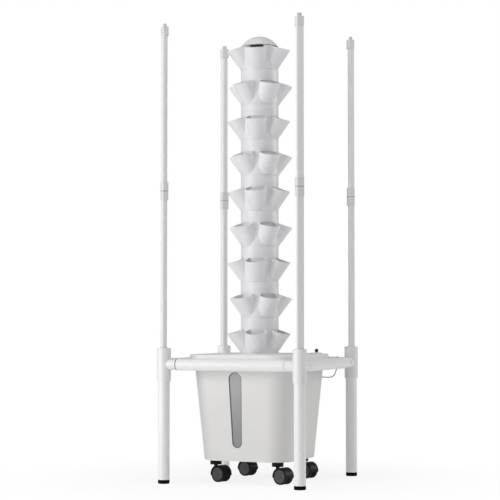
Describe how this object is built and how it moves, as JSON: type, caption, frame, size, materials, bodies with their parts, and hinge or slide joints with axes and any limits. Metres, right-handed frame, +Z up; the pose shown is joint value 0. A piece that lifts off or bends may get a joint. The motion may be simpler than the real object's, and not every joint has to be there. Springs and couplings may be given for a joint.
{
  "type": "hydroponic tower",
  "caption": "Vertical hydroponic planting tower on a wheeled water tank, inside a square pipe stand with light masts, with a lift-off tower, swivel casters and a pump inside.",
  "frame": {"origin": "on the floor, under the tower's axis", "axes": "+Z up along the tower, -Y the front with the level window, +X to the right of it"},
  "size_m": [0.578, 0.578, 1.668],
  "materials": {
    "pipe_white": "smooth, slightly glossy",
    "foot_black": "matt, finely ridged",
    "light_body": "satin",
    "light_diffuser": "milky",
    "light_cap": "smooth",
    "connector_grey": "smooth",
    "board_white": "smooth",
    "tank_white": "fine moulded grain",
    "lid_white": "fine moulded grain",
    "window_grey": "smoky, smooth",
    "seal_black": "matt",
    "knob_black": "smooth",
    "tower_white": "smooth moulded",
    "dome_grey": "lightly mottled",
    "distributor_black": "smooth",
    "riser_white": "smooth",
    "pump_black": "smooth",
    "lead_white": "matt",
    "gland_white": "smooth",
    "caster_black": "smooth",
    "wheel_black": "fine grain",
    "axle_steel": "plain"
  },
  "bodies": {
    "stand_and_tank": {"leg_front_left": "pipe_white", "leg_front_right": "pipe_white", "leg_rear_right": "pipe_white", "leg_rear_left": "pipe_white", "rail_front": "pipe_white", "rail_right": "pipe_white", "rail_rear": "pipe_white", "rail_left": "pipe_white", "corner_fitting_front_left": "pipe_white", "corner_fitting_front_right": "pipe_white", "corner_fitting_rear_right": "pipe_white", "corner_fitting_rear_left": "pipe_white", "mast_bushes": "pipe_white", "leg_feet": "foot_black", "light_housings": "light_body", "light_diffusers": "light_diffuser", "light_end_caps_lower": "light_cap", "light_end_caps_upper": "light_cap", "light_connectors": "connector_grey", "led_boards": "board_white", "tank_shell": "tank_white", "level_window": "window_grey", "window_seal": "seal_black", "pump_body": "pump_black", "pump_strainer": "pump_black", "cable_gland": "gland_white", "rail_grommet": "gland_white", "pump_lead": "lead_white", "pump_lead_inside": "lead_white", "caster_mounts": "caster_black"},
    "lid_and_tower": {"tank_lid": "lid_white", "base_ring": "lid_white", "spacer_rings": "tower_white", "water_distributor": "distributor_black", "riser_pipe": "riser_white", "planting_collar_1": "tower_white", "planting_collar_2": "tower_white", "planting_collar_3": "tower_white", "planting_collar_4": "tower_white", "planting_collar_5": "tower_white", "planting_collar_6": "tower_white", "planting_collar_7": "tower_white", "planting_collar_8": "tower_white", "planting_collar_9": "tower_white"},
    "dome": {"dome_cap": "dome_grey"},
    "fill_port_cap": {"fill_cap": "lid_white", "fill_knob": "knob_black"},
    "caster_front_left": {"caster_hood_front_left": "caster_black"},
    "wheels_front_left": {"caster_wheels_front_left": "wheel_black", "caster_axle_front_left": "axle_steel"},
    "caster_front_right": {"caster_hood_front_right": "caster_black"},
    "wheels_front_right": {"caster_wheels_front_right": "wheel_black", "caster_axle_front_right": "axle_steel"},
    "caster_rear_right": {"caster_hood_rear_right": "caster_black"},
    "wheels_rear_right": {"caster_wheels_rear_right": "wheel_black", "caster_axle_rear_right": "axle_steel"},
    "caster_rear_left": {"caster_hood_rear_left": "caster_black"},
    "wheels_rear_left": {"caster_wheels_rear_left": "wheel_black", "caster_axle_rear_left": "axle_steel"}
  },
  "joints": [
    {"name": "tower_lift", "type": "slide", "parent": "stand_and_tank", "child": "lid_and_tower", "axis": [0, 0, 1], "range_m": [0, 0.45]},
    {"name": "dome_lift", "type": "slide", "parent": "lid_and_tower", "child": "dome", "axis": [0, 0, 1], "range_m": [0, 0.12]},
    {"name": "fill_cap_lift", "type": "slide", "parent": "lid_and_tower", "child": "fill_port_cap", "axis": [0, 0, 1], "range_m": [0, 0.06]},
    {"name": "swivel_front_left", "type": "hinge", "parent": "stand_and_tank", "child": "caster_front_left", "pos_m": [-0.122, -0.122, 0.0626], "axis": [0, 0, 1], "continuous": true},
    {"name": "roll_front_left", "type": "hinge", "parent": "caster_front_left", "child": "wheels_front_left", "pos_m": [-0.09809, -0.12931, 0.029], "axis": [0.2924, 0.9563, 0], "continuous": true},
    {"name": "swivel_front_right", "type": "hinge", "parent": "stand_and_tank", "child": "caster_front_right", "pos_m": [0.122, -0.122, 0.0626], "axis": [0, 0, 1], "continuous": true},
    {"name": "roll_front_right", "type": "hinge", "parent": "caster_front_right", "child": "wheels_front_right", "pos_m": [0.14591, -0.12931, 0.029], "axis": [0.2924, 0.9563, 0], "continuous": true},
    {"name": "swivel_rear_right", "type": "hinge", "parent": "stand_and_tank", "child": "caster_rear_right", "pos_m": [0.122, 0.122, 0.0626], "axis": [0, 0, 1], "continuous": true},
    {"name": "roll_rear_right", "type": "hinge", "parent": "caster_rear_right", "child": "wheels_rear_right", "pos_m": [0.14591, 0.11469, 0.029], "axis": [0.2924, 0.9563, 0], "continuous": true},
    {"name": "swivel_rear_left", "type": "hinge", "parent": "stand_and_tank", "child": "caster_rear_left", "pos_m": [-0.122, 0.122, 0.0626], "axis": [0, 0, 1], "continuous": true},
    {"name": "roll_rear_left", "type": "hinge", "parent": "caster_rear_left", "child": "wheels_rear_left", "pos_m": [-0.09809, 0.11469, 0.029], "axis": [0.2924, 0.9563, 0], "continuous": true}
  ]
}
